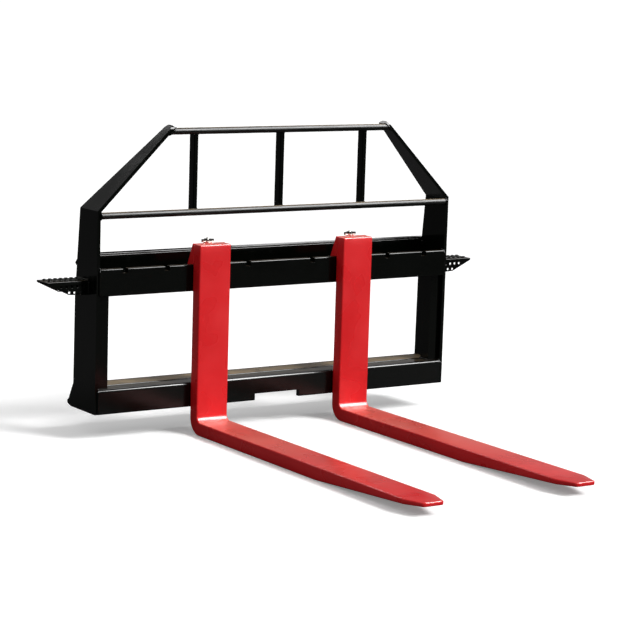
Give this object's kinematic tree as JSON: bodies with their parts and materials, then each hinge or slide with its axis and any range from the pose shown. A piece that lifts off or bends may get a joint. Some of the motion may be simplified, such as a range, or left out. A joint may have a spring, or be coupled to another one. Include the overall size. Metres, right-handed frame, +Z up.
{
  "type": "pallet fork attachment",
  "caption": "Loader carriage with a welded guard and side steps, carrying hook-on forks that slide along its bars and lock in notches with turning levers.",
  "frame": {"origin": "centre of the object's box in plan, at the height of the forks' undersides, which rest on the ground", "axes": "+X along the fork bars to the viewer's right when facing the forks, +Y from the blade tips towards the coupler, +Z up"},
  "size_m": [1.444, 1.2793, 0.875],
  "materials": {
    "black_paint": "gloss",
    "red_paint": "gloss",
    "zinc_steel": "zinc plated"
  },
  "bodies": {
    "frame": {"left_side_plate": "black_paint", "right_side_plate": "black_paint", "left_post_tube": "black_paint", "right_post_tube": "black_paint", "upper_fork_bar": "black_paint", "lower_fork_bar": "black_paint", "lower_box_tube": "black_paint", "lower_shelf_plate": "black_paint", "lower_coupler_angle": "black_paint", "upper_coupler_plate": "black_paint", "top_hook_lip": "black_paint", "upper_rib_1": "black_paint", "upper_rib_2": "black_paint", "upper_rib_3": "black_paint", "upper_rib_4": "black_paint", "lower_rib_1": "black_paint", "lower_rib_2": "black_paint", "lower_rib_3": "black_paint", "lower_rib_4": "black_paint", "top_rail": "black_paint", "mid_rail": "black_paint", "left_guard_bar": "black_paint", "centre_guard_bar": "black_paint", "right_guard_bar": "black_paint", "left_step_tread": "black_paint", "right_step_tread": "black_paint"},
    "left_fork": {"left_fork_arm": "red_paint", "left_upper_hook": "red_paint", "left_lower_hook": "red_paint", "left_lever_screw": "zinc_steel", "left_lock_spring": "zinc_steel"},
    "left_lever": {"left_lock_lever": "zinc_steel"},
    "left_pin": {"left_lock_pin": "zinc_steel"},
    "right_fork": {"right_fork_arm": "red_paint", "right_upper_hook": "red_paint", "right_lower_hook": "red_paint", "right_lever_screw": "zinc_steel", "right_lock_spring": "zinc_steel"},
    "right_lever": {"right_lock_lever": "zinc_steel"},
    "right_pin": {"right_lock_pin": "zinc_steel"}
  },
  "joints": [
    {"name": "left_fork_slide", "type": "slide", "parent": "frame", "child": "left_fork", "axis": [1, 0, 0], "range_m": [-0.266, 0.133]},
    {"name": "left_lever_turn", "type": "hinge", "parent": "left_fork", "child": "left_lever", "pos_m": [-0.242, 0.47635, 0.55], "axis": [0, 0, 1], "range_deg": [0, 90]},
    {"name": "left_pin_drop", "type": "slide", "parent": "left_fork", "child": "left_pin", "axis": [0, 0, 1], "range_m": [-0.013, 0], "deforming": ["left_lock_spring"]},
    {"name": "right_fork_slide", "type": "slide", "parent": "frame", "child": "right_fork", "axis": [1, 0, 0], "range_m": [-0.133, 0.266]},
    {"name": "right_lever_turn", "type": "hinge", "parent": "right_fork", "child": "right_lever", "pos_m": [0.242, 0.47635, 0.55], "axis": [0, 0, 1], "range_deg": [0, 90]},
    {"name": "right_pin_drop", "type": "slide", "parent": "right_fork", "child": "right_pin", "axis": [0, 0, 1], "range_m": [-0.013, 0], "deforming": ["right_lock_spring"]}
  ],
  "couplings": [
    {"joint": "left_lever_turn", "follows": "left_pin_drop", "rad_per_m": -120.83},
    {"joint": "right_lever_turn", "follows": "right_pin_drop", "rad_per_m": -120.83}
  ]
}
